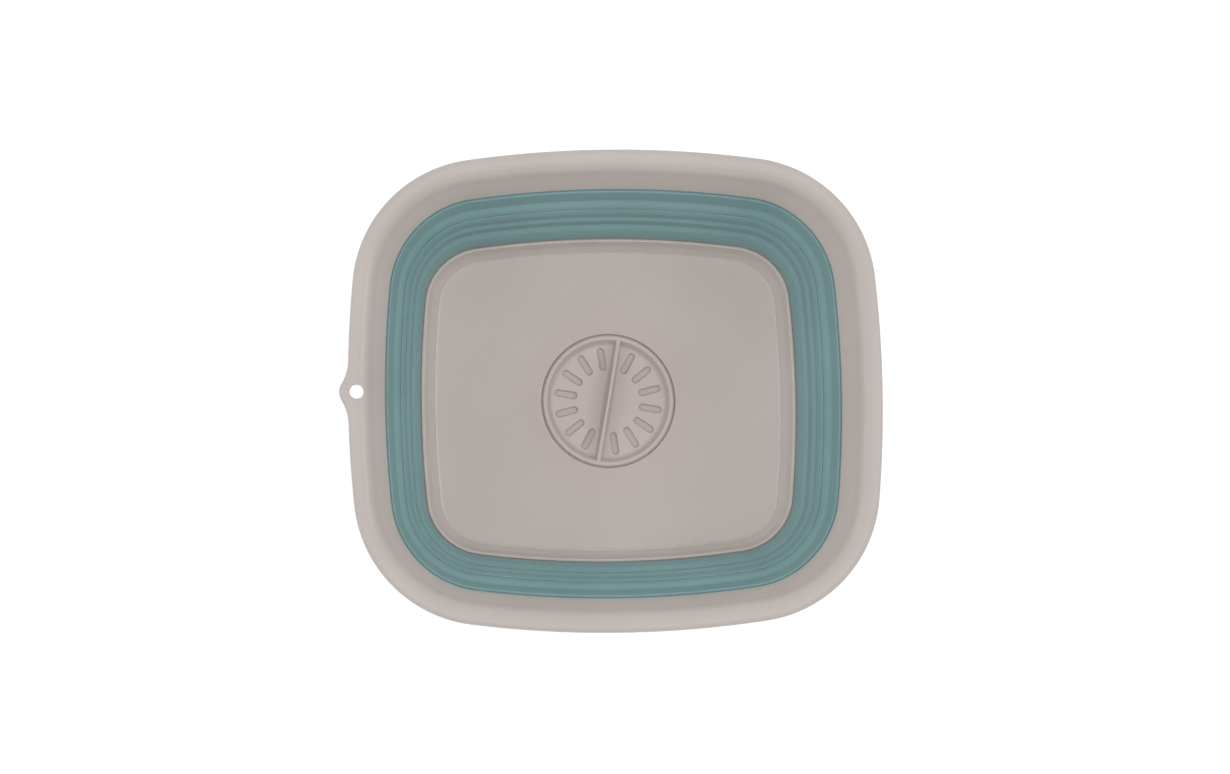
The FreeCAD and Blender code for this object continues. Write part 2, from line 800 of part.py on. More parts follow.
def make_drain_stopper():
    """Soft disc that turns on the strainer's pin and covers the outlet."""
    body = new_body("drain_stopper")
    bore = size.pin_radius + size.running_clearance
    add_turned(
        body,
        "Revolution",
        "Disc",
        [
            (bore, size.well_floor_height),
            (stopper_radius, size.well_floor_height),
            (stopper_radius, size.well_floor_height + size.stopper_edge_height),
            (stopper_radius - size.stopper_shoulder_width, stopper_top),
            (bore, stopper_top),
        ],
    )
    return body


def make_stopper_retainer():
    """Washer pressed on the end of the strainer's pin, which keeps the stopper on it."""
    body = new_body("stopper_retainer")
    outer = size.pin_radius + size.retainer_width
    add_turned(
        body,
        "Revolution",
        "Washer",
        [
            (size.pin_radius, pin_end),
            (outer, pin_end),
            (outer, retainer_top),
            (size.pin_radius, retainer_top),
        ],
    )
    return body


def check_document():
    """Stops if any object failed or any sub-part is empty, open or in several pieces."""
    for item in doc.Objects:
        if "Invalid" in item.State or "Error" in item.State:
            raise RuntimeError(f"{item.Label} failed: {item.State}")
    for body in bodies:
        shape = body.Shape
        if shape.isNull() or not shape.isValid() or len(shape.Solids) != 1:
            raise RuntimeError(f"{body.Label} isn't one valid solid")


bodies = [
    make_rim(),
    make_upper_band(),
    make_middle_band(),
    make_lower_band(),
    make_base_tray(),
    make_strainer_cup(),
    make_drain_stopper(),
    make_stopper_retainer(),
]
doc.recompute()
check_document()
os.makedirs("parts", exist_ok=True)
for body in bodies:
    body.Shape.exportStep(f"parts/{body.Label}.step")
    print(body.Label, round(body.Shape.Volume), body.Shape.BoundBox)
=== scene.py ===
import json
import math

import bmesh
import bpy
import numpy as np
from mathutils import Matrix, Vector

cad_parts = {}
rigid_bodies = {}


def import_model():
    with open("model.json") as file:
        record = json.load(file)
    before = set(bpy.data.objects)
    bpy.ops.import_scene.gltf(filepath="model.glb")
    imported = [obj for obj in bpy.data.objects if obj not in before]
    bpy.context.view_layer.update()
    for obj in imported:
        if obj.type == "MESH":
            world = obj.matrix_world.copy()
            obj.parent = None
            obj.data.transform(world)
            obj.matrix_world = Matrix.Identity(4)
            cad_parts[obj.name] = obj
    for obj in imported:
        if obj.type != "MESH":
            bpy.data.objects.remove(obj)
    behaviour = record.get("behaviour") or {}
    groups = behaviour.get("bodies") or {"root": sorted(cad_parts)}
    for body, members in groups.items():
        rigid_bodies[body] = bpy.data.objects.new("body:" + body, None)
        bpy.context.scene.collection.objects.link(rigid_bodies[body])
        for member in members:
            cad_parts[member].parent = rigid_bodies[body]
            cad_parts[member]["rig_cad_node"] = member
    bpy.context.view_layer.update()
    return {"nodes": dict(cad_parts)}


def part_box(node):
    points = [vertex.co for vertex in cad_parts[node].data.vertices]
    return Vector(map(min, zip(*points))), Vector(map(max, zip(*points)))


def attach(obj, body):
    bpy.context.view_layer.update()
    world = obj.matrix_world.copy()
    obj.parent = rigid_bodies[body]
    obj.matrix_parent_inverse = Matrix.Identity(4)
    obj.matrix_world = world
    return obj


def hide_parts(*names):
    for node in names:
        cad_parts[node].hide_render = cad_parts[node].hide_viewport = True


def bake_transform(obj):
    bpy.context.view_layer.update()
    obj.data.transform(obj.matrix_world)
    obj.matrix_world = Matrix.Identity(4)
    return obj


# Looks of a collapsible washing up bowl: satin taupe rim and base, a soft teal wall
# that folds, and a slotted drain plug. Sizes are in millimetres and become metres
# when a mesh is made. Insets are measured in plan from the rim's outer edge, and
# heights from the table. The stage is in metres.

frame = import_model()

MM = 0.001


def node_box(node):
    """Lowest and highest corner of a node of the frame, in millimetres."""
    low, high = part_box(node)
    return low / MM, high / MM


# Driving sizes from the frame
RIM_LOW, RIM_HIGH = node_box("rim")
HALF_LENGTH = RIM_HIGH.x
HALF_WIDTH = RIM_HIGH.y
RIM_TOP = RIM_HIGH.z
LUG_TIP = RIM_LOW.x
UPPER_JOINT_HEIGHT = node_box("upper_wall_band")[1].z
UPPER_FOLD_HEIGHT = node_box("middle_wall_band")[1].z
LOWER_FOLD_HEIGHT = node_box("middle_wall_band")[0].z
LOWER_JOINT_HEIGHT = node_box("lower_wall_band")[0].z
RIM_TONGUE_END = RIM_LOW.z
BASE_TONGUE_END = node_box("base_tray")[1].z
PIN_END = node_box("strainer_cup")[0].z
BAR_TOP = node_box("strainer_cup")[1].z

# Plan of the rim: bowed sides and round corners
SHORT_SIDE_RADIUS = 813.0
LONG_SIDE_RADIUS = 761.0
CORNER_RADIUS = 93.4
SHORT_SIDE_STEPS = 26
CORNER_STEPS = 28
LONG_SIDE_STEPS = 14
LUG_CROWDING = 1.5

# Rim section
RIM_WALL = 2.2
SKIRT_DEPTH = 9.0
ROLL_RADIUS = 4.0
CREST_WIDTH = 7.5
CREST_RADIUS = 12.0
FLANGE_WIDTH = 14.6
FLANGE_FALL = 4.0
BREAK_RADIUS = 12.5
BREAK_SHIFT = 1.76
HOLLOW_INSET = 17.3
HOLLOW_HEIGHT = 113.0
HOLLOW_RADIUS = 6.0
RIM_INSET = 24.7
JOINT_THICKNESS = 2.3
TONGUE_MARGIN = 0.55
SOFT_EDGE = 0.5
SKIRT_EDGE = 0.8

# Hanging lug
LUG_HOLE_RADIUS = 4.9
LUG_NOSE_RADIUS = 12.1
LUG_FILLET_RADIUS = 32.0
LUG_EDGE_DEPTH = 3.3
LUG_HOLE_EDGE = 0.45
LUG_HOLE_STEPS = 48

# Soft wall section
WALL = 2.0
BEAD_DEPTH = 7.0
BEAD_EDGE = 0.8
FOLD_EDGE = 0.4
UPPER_NOTCH = 0.8
LOWER_NOTCH = 0.05
FOLD_HALF_GAP = 0.6
HINGE_HALF = 0.15
UPPER_FOLD_INSET = 35.6
LOWER_FOLD_INSET = 42.7
SHOULDER_RADIUS = 3.0
LOWER_SHOULDER_RADIUS = 6.0
LIP_WIDTH = 2.0
LIP_FALL = 0.65
LIP_EDGE = 0.6
GROOVE_WIDTH = 0.9
UPPER_GROOVE_DEPTH = 1.0
GROOVE_DEPTH = 1.7
UPPER_STEEP_INSET = 30.2
UPPER_STEEP_HEIGHT = 79.7
SHOULDER_END_INSET = 33.5
SHOULDER_END_HEIGHT = 77.7
SHOULDER_END_RADIUS = 2.0
UPPER_LEDGE_WIDTH = 2.3
UPPER_LEDGE_FALL = 4.0
LOWER_LEDGE_WIDTH = 2.7
LOWER_LEDGE_FALL = 1.7
LEDGE_EDGE = 0.9
CREASE_INSET = 39.2
CREASE_HEIGHT = 61.0
BACK_FALL = 1.0
BACK_STEEP_INSET = 26.73
BACK_STEEP_HEIGHT = 81.04
LOWER_SHOULDER_INSET = 46.3
LOWER_SHOULDER_HEIGHT = 44.4
LOWER_FLANK_INSET = 48.7
LOWER_FLANK_HEIGHT = 37.8
LOWER_FLANK_RADIUS = 10.0
LOWER_LEAN = 0.2145
LOWER_JOINT_INSET = 50.2
JOINT_BEVEL = 0.3
WALL_STEP = 3.0

# Base tray section
LAND_WIDTH = 2.2
LAND_RADIUS = 0.6
LAND_EDGE = 0.25
LAND_GROOVE = 0.4
SLOPE_INSET = 54.8
SLOPE_HEIGHT = 19.0
SLOPE_RADIUS = 7.0
SLOPE_END_INSET = 59.0
SLOPE_END_HEIGHT = 14.4
SLOPE_END_RADIUS = 0.5
FLOOR_BEAD_INSET = 59.9
FLOOR_BEAD_HEIGHT = 14.75
FLOOR_BEAD_RADIUS = 0.4
FLOOR_HEIGHT = 14.0
FLOOR_THICKNESS = 2.2
FLOOR_INSET = 61.2
FLOOR_ROUND = 2.0
UNDER_ROUND = 9.0
FOOT_DRAFT = 2.5
FOOT_WALL = 2.2
FOOT_EDGE = 0.6
CROTCH_DEPTH = 3.8
WELL_RADIUS = 49.0
WELL_WALL = 2.0
WELL_EDGE = 0.6
WELL_LIP = 1.6
SHELF_HEIGHT = 7.8
SEAT_RADIUS = 20.0
SEAT_HEIGHT = 4.0
OUTLET_RADIUS = 13.0
OUTLET_EDGE = 0.5
FLOOR_RINGS = 8
# Bend given to the rows in the well below the plug, which brings painted shade there
WELL_PAINTED_SHADE = -0.9

# How far each joint line lies outside its inset, which fades out over a width in plan:
# (inset, width, on the short sides, on the long sides)
JOINT_SHIFTS = [
    (RIM_INSET, 9.5, -0.55, 0.6),
    (LOWER_JOINT_INSET, 7.0, 0.75, -0.35),
]

# Strainer plug
PLUG_RADIUS = 48.2
RING_WIDTH = 3.0
RING_TOP = 14.8
RING_EDGE = 1.2
RING_SKIRT = 4.0
SEAL_RADIUS = 48.85
SEAL_TOP = 12.6
SEAL_EDGE = 0.2
DISH_RADIUS = 42.0
DISH_TOP = 9.5
DISH_THICKNESS = 1.4
DISH_ROUND = 4.0
PIN_RADIUS = 4.0
PLUG_STEPS = 144
SLOT_INNER = 23.3
SLOT_OUTER = 39.7
SLOT_WIDTH = 4.8
SLOT_DRAFT = 0.35
SLOT_PITCH = 24.0
SLOTS_PER_SIDE = 7
SLOT_ARC_STEPS = 10
BAR_REACH = 46.7
BAR_END_TOP = 14.2
BAR_FOOT = 8.8
BAR_END_FOOT = 10.6
BAR_FOOT_POWER = 16
BAR_END_WIDTH = 6.0
BAR_MIDDLE_WIDTH = 10.0
BAR_RIDGE = 2.0
BAR_END_RIDGE = 3.2
BAR_CROWN = 0.35
BAR_CROWN_SHARES = (0.75, 0.4)
BAR_STEPS = 40
BAR_FLANK_STEPS = 9
BAR_ANGLE = 10.1

# Arcs are drawn in steps of this angle
ARC_STEP = math.radians(12)
# Edges that bend by more than this are shaded sharp
SHARP_ANGLE = math.radians(38)
# Shorter edges, which cuts leave behind, are dissolved
SHORT_EDGE = 0.002
# Lengths are kept above this before anything is divided by them
TINY = 1e-9


def corner_center():
    """Centre of the round corner that touches a short side and a long side from inside."""
    short = np.array([HALF_LENGTH - SHORT_SIDE_RADIUS, 0.0])
    long = np.array([0.0, HALF_WIDTH - LONG_SIDE_RADIUS])
    short_reach = SHORT_SIDE_RADIUS - CORNER_RADIUS
    long_reach = LONG_SIDE_RADIUS - CORNER_RADIUS
    between = long - short
    apart = np.linalg.norm(between)
    along = between / apart
    across = np.array([-along[1], along[0]])
    foot = (short_reach**2 - long_reach**2 + apart**2) / (2 * apart)
    return short + along * foot + across * math.sqrt(short_reach**2 - foot**2)


class Plan:
    """Steps around the rim's outline, each with the centre, radius and direction of its arc."""

    def __init__(self):
        corner = corner_center()
        short = np.array([HALF_LENGTH - SHORT_SIDE_RADIUS, 0.0])
        long = np.array([0.0, HALF_WIDTH - LONG_SIDE_RADIUS])
        short_end = math.atan2(*(corner - short)[::-1])
        long_end = math.atan2(*(corner - long)[::-1])
        crowded = np.linspace(0, 1, SHORT_SIDE_STEPS + 1) ** LUG_CROWDING
        arcs = [
            (short, SHORT_SIDE_RADIUS, short_end * crowded),
            (corner, CORNER_RADIUS, np.linspace(short_end, long_end, CORNER_STEPS + 1)[1:]),
            (long, LONG_SIDE_RADIUS, np.linspace(long_end, math.pi / 2, LONG_SIDE_STEPS + 1)[1:]),
        ]
        quarter = np.array(
            [
                (*center, radius, math.cos(angle), math.sin(angle))
                for center, radius, angles in arcs
                for angle in angles
            ]
        )
        flip_x = np.array([-1, 1, 1, -1, 1])
        flip_y = np.array([1, -1, 1, 1, -1])
        back = quarter[::-1]
        around = np.vstack(
            [
                quarter,
                (back * flip_x)[1:],
                (quarter * flip_x * flip_y)[1:],
                (back * flip_y)[1:-1],
            ]
        )
        self.center = around[:, :2]
        self.radius = around[:, 2]
        self.outward = around[:, 3:]
        self.extra = self.lug_reach()
        floor = self.row(FLOOR_INSET, 0)
        self.angle = np.arctan2(floor[:, 1], floor[:, 0])

    def lug_reach(self):
        """How far the lug stands out from the rim's edge at each step."""
        edge = self.center + self.outward * self.radius[:, None]
        hole = np.array([LUG_TIP + LUG_NOSE_RADIUS, 0.0])
        side_x = SHORT_SIDE_RADIUS - HALF_LENGTH
        side_reach = SHORT_SIDE_RADIUS + LUG_FILLET_RADIUS
        nose_reach = LUG_NOSE_RADIUS + LUG_FILLET_RADIUS
        between = side_x - hole[0]
        along = (side_reach**2 - nose_reach**2 + between**2) / (2 * between)
        fillet = np.array([side_x - along, math.sqrt(side_reach**2 - along**2)])
        nose_half = fillet[1] * LUG_NOSE_RADIUS / nose_reach
        fillet_half = fillet[1] * SHORT_SIDE_RADIUS / side_reach
        reach = np.zeros(len(edge))
        for index, (point, outward) in enumerate(zip(edge, self.outward)):
            off = abs(point[1])
            if point[0] > 0 or off >= fillet_half:
                continue
            on_nose = off < nose_half
            middle = hole if on_nose else fillet * [1, math.copysign(1, point[1])]
            radius = LUG_NOSE_RADIUS if on_nose else LUG_FILLET_RADIUS
            across = point - middle
            half = across @ outward
            root = math.sqrt(half**2 - across @ across + radius**2)
            reach[index] = -half + root if on_nose else -half - root
        return reach

    def row(self, inset, height):
        """Points around the bowl at an inset and a height, either of which may vary by step."""
        for middle, width, along_x, along_y in JOINT_SHIFTS:
            near = np.maximum(0, 1 - np.abs(np.asarray(inset) - middle) / width)
            inset = inset - near * (self.outward**2 @ (along_x, along_y))
        flat = self.center + self.outward * (self.radius - inset)[:, None]
        return np.column_stack([flat, np.broadcast_to(height, len(flat))])

    def circle(self, radius, height):
        """Points on a circle about the drain, one for each step."""
        return np.column_stack(
            [
                radius * np.cos(self.angle),
                radius * np.sin(self.angle),
                np.full(len(self.angle), height),
            ]
        )


def rounded(points, closed=True):
    """A section with an arc at each point that has a radius, given as (across, up, radius)."""
    count = len(points)
    flat = [np.array(point[:2], float) for point in points]
    section = []
    for index, point in enumerate(points):
        radius = point[2] if len(point) > 2 else 0
        at_end = not closed and index in (0, count - 1)
        if not radius or at_end:
            section.append(flat[index])
            continue
        here = flat[index]
        before = flat[index - 1] - here
        after = flat[(index + 1) % count] - here
        before /= np.linalg.norm(before)
        after /= np.linalg.norm(after)
        half = math.acos(np.clip(before @ after, -1, 1)) / 2
        inward = (before + after) / np.linalg.norm(before + after)
        center = here + inward * radius / math.sin(half)
        start = here + before * radius / math.tan(half) - center
        end = here + after * radius / math.tan(half) - center
        turn = math.atan2(start[0] * end[1] - start[1] * end[0], start @ end)
        steps = max(2, math.ceil(abs(turn) / ARC_STEP))
        for share in np.linspace(0, 1, steps + 1):
            cosine, sine = math.cos(turn * share), math.sin(turn * share)
            section.append(
                center
                + [cosine * start[0] - sine * start[1], sine * start[0] + cosine * start[1]]
            )
    return section


def divided(section, step):
    """The closed section with its long runs cut into even steps."""
    fine = []
    for here, after in zip(section, section[1:] + section[:1]):
        pieces = max(1, math.ceil(np.linalg.norm(after - here) / step))
        fine += [here + (after - here) * part / pieces for part in range(pieces)]
    return fine


def unit(vectors):
    """Vectors scaled to a length of one."""
    length = np.linalg.norm(vectors, axis=-1, keepdims=True)
    return vectors / np.maximum(length, TINY)


def edge_curvature(rows):
    """How strongly each point of a closed sweep bends: over 0 on edges, under 0 in grooves."""
    rows = np.array(rows)
    before = rows - np.roll(rows, 1, axis=0)
    after = np.roll(rows, -1, axis=0) - rows
    across = np.roll(rows, -1, axis=0) - np.roll(rows, 1, axis=0)
    along = np.roll(rows, -1, axis=1) - np.roll(rows, 1, axis=1)
    outward = unit(np.cross(along, across))
    bend = unit(after) - unit(before)
    length = np.linalg.norm(before, axis=2) + np.linalg.norm(after, axis=2)
    return -np.einsum("ijk,ijk->ij", bend, outward) / np.maximum(length, TINY)


def new_piece(name, vertices, faces):
    """A new object in the scene, from points in millimetres."""
    mesh = bpy.data.meshes.new(name)
    mesh.from_pydata([Vector(vertex) * MM for vertex in vertices], [], faces)
    mesh.update()
    piece = bpy.data.objects.new(name, mesh)
    bpy.context.scene.collection.objects.link(piece)
    return piece


def swept_piece(name, rows, ring=True):
    """A closed skin over rows of points. The last row joins the first where ring is set."""
    count = len(rows[0])
    vertices = np.vstack(rows)
    faces = []
    last = len(rows) if ring else len(rows) - 1
    for row in range(last):
        following = (row + 1) % len(rows)
        for step in range(count):
            after = (step + 1) % count
            faces.append(
                (
                    row * count + step,
                    row * count + after,
                    following * count + after,
                    following * count + step,
                )
            )
    if not ring:
        faces.append(tuple(range(count))[::-1])
        faces.append(tuple((len(rows) - 1) * count + step for step in range(count)))
    return new_piece(name, vertices, faces)


def finish_mesh(piece):
    """Outward faces with smooth shading, broken at sharp edges, and no needle-thin faces."""
    work = bmesh.new()
    work.from_mesh(piece.data)
    bmesh.ops.dissolve_degenerate(work, dist=SHORT_EDGE * MM, edges=work.edges)
    bmesh.ops.recalc_face_normals(work, faces=work.faces)
    for face in work.faces:
        face.smooth = True
    work.to_mesh(piece.data)
    work.free()
    piece.data.set_sharp_from_angle(angle=SHARP_ANGLE)


def combine(piece, tool, operation):
    """Joins a tool to a piece, or cuts it out, and removes the tool."""
    change = piece.modifiers.new(operation, "BOOLEAN")
    change.operation = operation
    change.object = tool
    change.solver = "EXACT"
    bpy.context.view_layer.update()
    changed = piece.evaluated_get(bpy.context.evaluated_depsgraph_get())
    made = bpy.data.meshes.new_from_object(changed)
    piece.modifiers.clear()
    piece.data = made
    bpy.data.objects.remove(tool)


plan = Plan()


def make_rim():
    """Rim with a rolled edge, a sloped inner face and a lug that grows out of its left side."""
    # The skirt's lower edge rises softly to the thin edge of the lug
    share = plan.extra / plan.extra.max()
    rise = (3 - 2 * share) * share**2 * (SKIRT_DEPTH - LUG_EDGE_DEPTH)
    flange = RIM_TOP - FLANGE_FALL
    inner = RIM_INSET - TONGUE_MARGIN
    outer = RIM_INSET - JOINT_THICKNESS
    sections = []
    for extra, lift in zip(plan.extra, rise):
        bottom = RIM_TOP - SKIRT_DEPTH + lift
        roll = min(ROLL_RADIUS, RIM_TOP - bottom - SKIRT_EDGE)
        inner_roll = min(ROLL_RADIUS - RIM_WALL, RIM_TOP - RIM_WALL - bottom - SKIRT_EDGE)
        sections.append(
            rounded(
                [
                    (-extra, bottom, SKIRT_EDGE),
                    (-extra, RIM_TOP, roll),
                    (CREST_WIDTH, RIM_TOP, CREST_RADIUS),
                    (FLANGE_WIDTH, flange, BREAK_RADIUS),
                    (HOLLOW_INSET, HOLLOW_HEIGHT, HOLLOW_RADIUS),
                    (RIM_INSET, UPPER_JOINT_HEIGHT, SOFT_EDGE),
                    (inner, UPPER_JOINT_HEIGHT),
                    (inner, RIM_TONGUE_END),
                    (outer + TONGUE_MARGIN, RIM_TONGUE_END),
                    (outer + TONGUE_MARGIN, UPPER_JOINT_HEIGHT),
                    (outer, UPPER_JOINT_HEIGHT, SOFT_EDGE),
                    (FLANGE_WIDTH - BREAK_SHIFT, flange - BREAK_SHIFT, BREAK_RADIUS - RIM_WALL),
                    (CREST_WIDTH, RIM_TOP - RIM_WALL, CREST_RADIUS - RIM_WALL),
                    (RIM_WALL - extra, RIM_TOP - RIM_WALL, inner_roll),
                    (RIM_WALL - extra, bottom, SKIRT_EDGE),
                ]
            )
        )
    places = np.array(sections).transpose(1, 0, 2)
    rows = [plan.row(place[:, 0], place[:, 1]) for place in places]
    rim = swept_piece("rim_moulding", rows)
    add_curvature(rim, rows)
    finish_mesh(rim)
    combine(rim, make_hole_cutter(), "DIFFERENCE")
    finish_mesh(rim)
    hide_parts("rim")
    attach(rim, "rim")
    return rim


def make_hole_cutter():
    """An upright cutter for the lug's hole, flared where it leaves the top."""
    angles = np.linspace(0, 2 * math.pi, LUG_HOLE_STEPS, endpoint=False)
    around = np.column_stack([np.cos(angles), np.sin(angles)])
    levels = [
        (LUG_HOLE_RADIUS, RIM_TOP - SKIRT_DEPTH),
        (LUG_HOLE_RADIUS, RIM_TOP - LUG_HOLE_EDGE),
        (LUG_HOLE_RADIUS + 2 * LUG_HOLE_EDGE, RIM_TOP + LUG_HOLE_EDGE),
    ]
    center = (LUG_TIP + LUG_NOSE_RADIUS, 0)
    rows = [
        np.column_stack([center + around * radius, np.full(LUG_HOLE_STEPS, height)])
        for radius, height in levels
    ]
    cutter = swept_piece("hole_cutter", rows, ring=False)
    finish_mesh(cutter)
    return cutter


def add_curvature(piece, rows, painted_shade_rows=()):
    """Stores each point's bend for the materials to read. The rows given count as grooves, which
    brings painted shade there.
    """
    curvature = edge_curvature(rows)
    for row in painted_shade_rows:
        curvature[row] = np.minimum(curvature[row], WELL_PAINTED_SHADE)
    layer = piece.data.attributes.new("curvature", "FLOAT", "POINT")
    layer.data.foreach_set("value", curvature.ravel().astype(np.float32))


def make_wall():
    """Soft wall in one skin: lip, two shoulders, two folds and the stretch between them."""
    inner = RIM_INSET - TONGUE_MARGIN
    outer = RIM_INSET - JOINT_THICKNESS
    tongue_lean = LOWER_LEAN * (BASE_TONGUE_END - LOWER_JOINT_HEIGHT)
    low_inner = LOWER_JOINT_INSET - TONGUE_MARGIN
    low_outer = LOWER_JOINT_INSET - JOINT_THICKNESS
    high_fold = UPPER_FOLD_INSET
    low_fold = LOWER_FOLD_INSET
    gap = FOLD_HALF_GAP
    section = rounded(
        [
            (outer, UPPER_JOINT_HEIGHT),
            (outer + TONGUE_MARGIN, UPPER_JOINT_HEIGHT),
            (outer + TONGUE_MARGIN, RIM_TONGUE_END),
            (inner, RIM_TONGUE_END),
            (inner, UPPER_JOINT_HEIGHT),
            (inner + TONGUE_MARGIN / 2, UPPER_JOINT_HEIGHT),
            (RIM_INSET + GROOVE_WIDTH / 4, UPPER_JOINT_HEIGHT - UPPER_GROOVE_DEPTH, GROOVE_WIDTH / 4),
            (RIM_INSET + GROOVE_WIDTH, UPPER_JOINT_HEIGHT - LIP_FALL / 2, GROOVE_WIDTH / 3),
            (RIM_INSET + LIP_WIDTH, UPPER_JOINT_HEIGHT - LIP_FALL, LIP_EDGE),
            (UPPER_STEEP_INSET, UPPER_STEEP_HEIGHT, SHOULDER_RADIUS),
            (SHOULDER_END_INSET, SHOULDER_END_HEIGHT, SHOULDER_END_RADIUS),
            (high_fold - gap, UPPER_FOLD_HEIGHT, FOLD_EDGE),
            (high_fold, UPPER_FOLD_HEIGHT - UPPER_NOTCH),
            (high_fold + gap, UPPER_FOLD_HEIGHT, FOLD_EDGE),
            (high_fold + gap + UPPER_LEDGE_WIDTH, UPPER_FOLD_HEIGHT - UPPER_LEDGE_FALL, LEDGE_EDGE),
            (CREASE_INSET, CREASE_HEIGHT, LEDGE_EDGE),
            (CREASE_INSET + LOWER_LEDGE_WIDTH, CREASE_HEIGHT - LOWER_LEDGE_FALL, LEDGE_EDGE),
            (low_fold - HINGE_HALF, LOWER_FOLD_HEIGHT - LOWER_NOTCH, FOLD_EDGE),
            (low_fold + gap, LOWER_FOLD_HEIGHT, FOLD_EDGE),
            (LOWER_SHOULDER_INSET, LOWER_SHOULDER_HEIGHT, LOWER_SHOULDER_RADIUS),
            (LOWER_FLANK_INSET, LOWER_FLANK_HEIGHT, LOWER_FLANK_RADIUS),
            (LOWER_JOINT_INSET - JOINT_BEVEL, LOWER_JOINT_HEIGHT + 2 * JOINT_BEVEL),
            (low_inner + JOINT_BEVEL / 4, LOWER_JOINT_HEIGHT),
            (low_inner, LOWER_JOINT_HEIGHT),
            (low_inner - tongue_lean, BASE_TONGUE_END),
            (low_outer + TONGUE_MARGIN - tongue_lean, BASE_TONGUE_END),
            (low_outer + TONGUE_MARGIN, LOWER_JOINT_HEIGHT),
            (low_outer, LOWER_JOINT_HEIGHT),
            (low_outer - LOWER_LEAN * BEAD_DEPTH, LOWER_JOINT_HEIGHT + BEAD_DEPTH),
            (LOWER_SHOULDER_INSET - WALL, LOWER_SHOULDER_HEIGHT - WALL, SHOULDER_RADIUS - WALL),
            (low_fold + HINGE_HALF, LOWER_FOLD_HEIGHT - WALL, FOLD_EDGE),
            (low_fold - FOLD_EDGE, LOWER_FOLD_HEIGHT - BACK_FALL),
            (low_fold - HINGE_HALF - WALL, LOWER_FOLD_HEIGHT, FOLD_EDGE),
            (CREASE_INSET + BACK_FALL - HINGE_HALF, CREASE_HEIGHT - BACK_FALL - WALL, LEDGE_EDGE),
            (CREASE_INSET - WALL, CREASE_HEIGHT - WALL, LEDGE_EDGE),
            (high_fold + 2 * HINGE_HALF, UPPER_FOLD_HEIGHT - BACK_FALL - HINGE_HALF),
            (high_fold - HINGE_HALF, UPPER_FOLD_HEIGHT - WALL, FOLD_EDGE),
            (BACK_STEEP_INSET, BACK_STEEP_HEIGHT, SHOULDER_RADIUS + WALL),
            (RIM_INSET + TONGUE_MARGIN, UPPER_JOINT_HEIGHT - BEAD_DEPTH, BEAD_EDGE),
            (outer, UPPER_JOINT_HEIGHT - BEAD_DEPTH, BEAD_EDGE),
        ]
    )
    rows = [plan.row(inset, height) for inset, height in divided(section, WALL_STEP)]
    wall = swept_piece("folding_wall", rows)
    add_curvature(wall, rows)
    finish_mesh(wall)
    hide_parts("upper_wall_band", "middle_wall_band", "lower_wall_band")
    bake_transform(wall)
    return wall


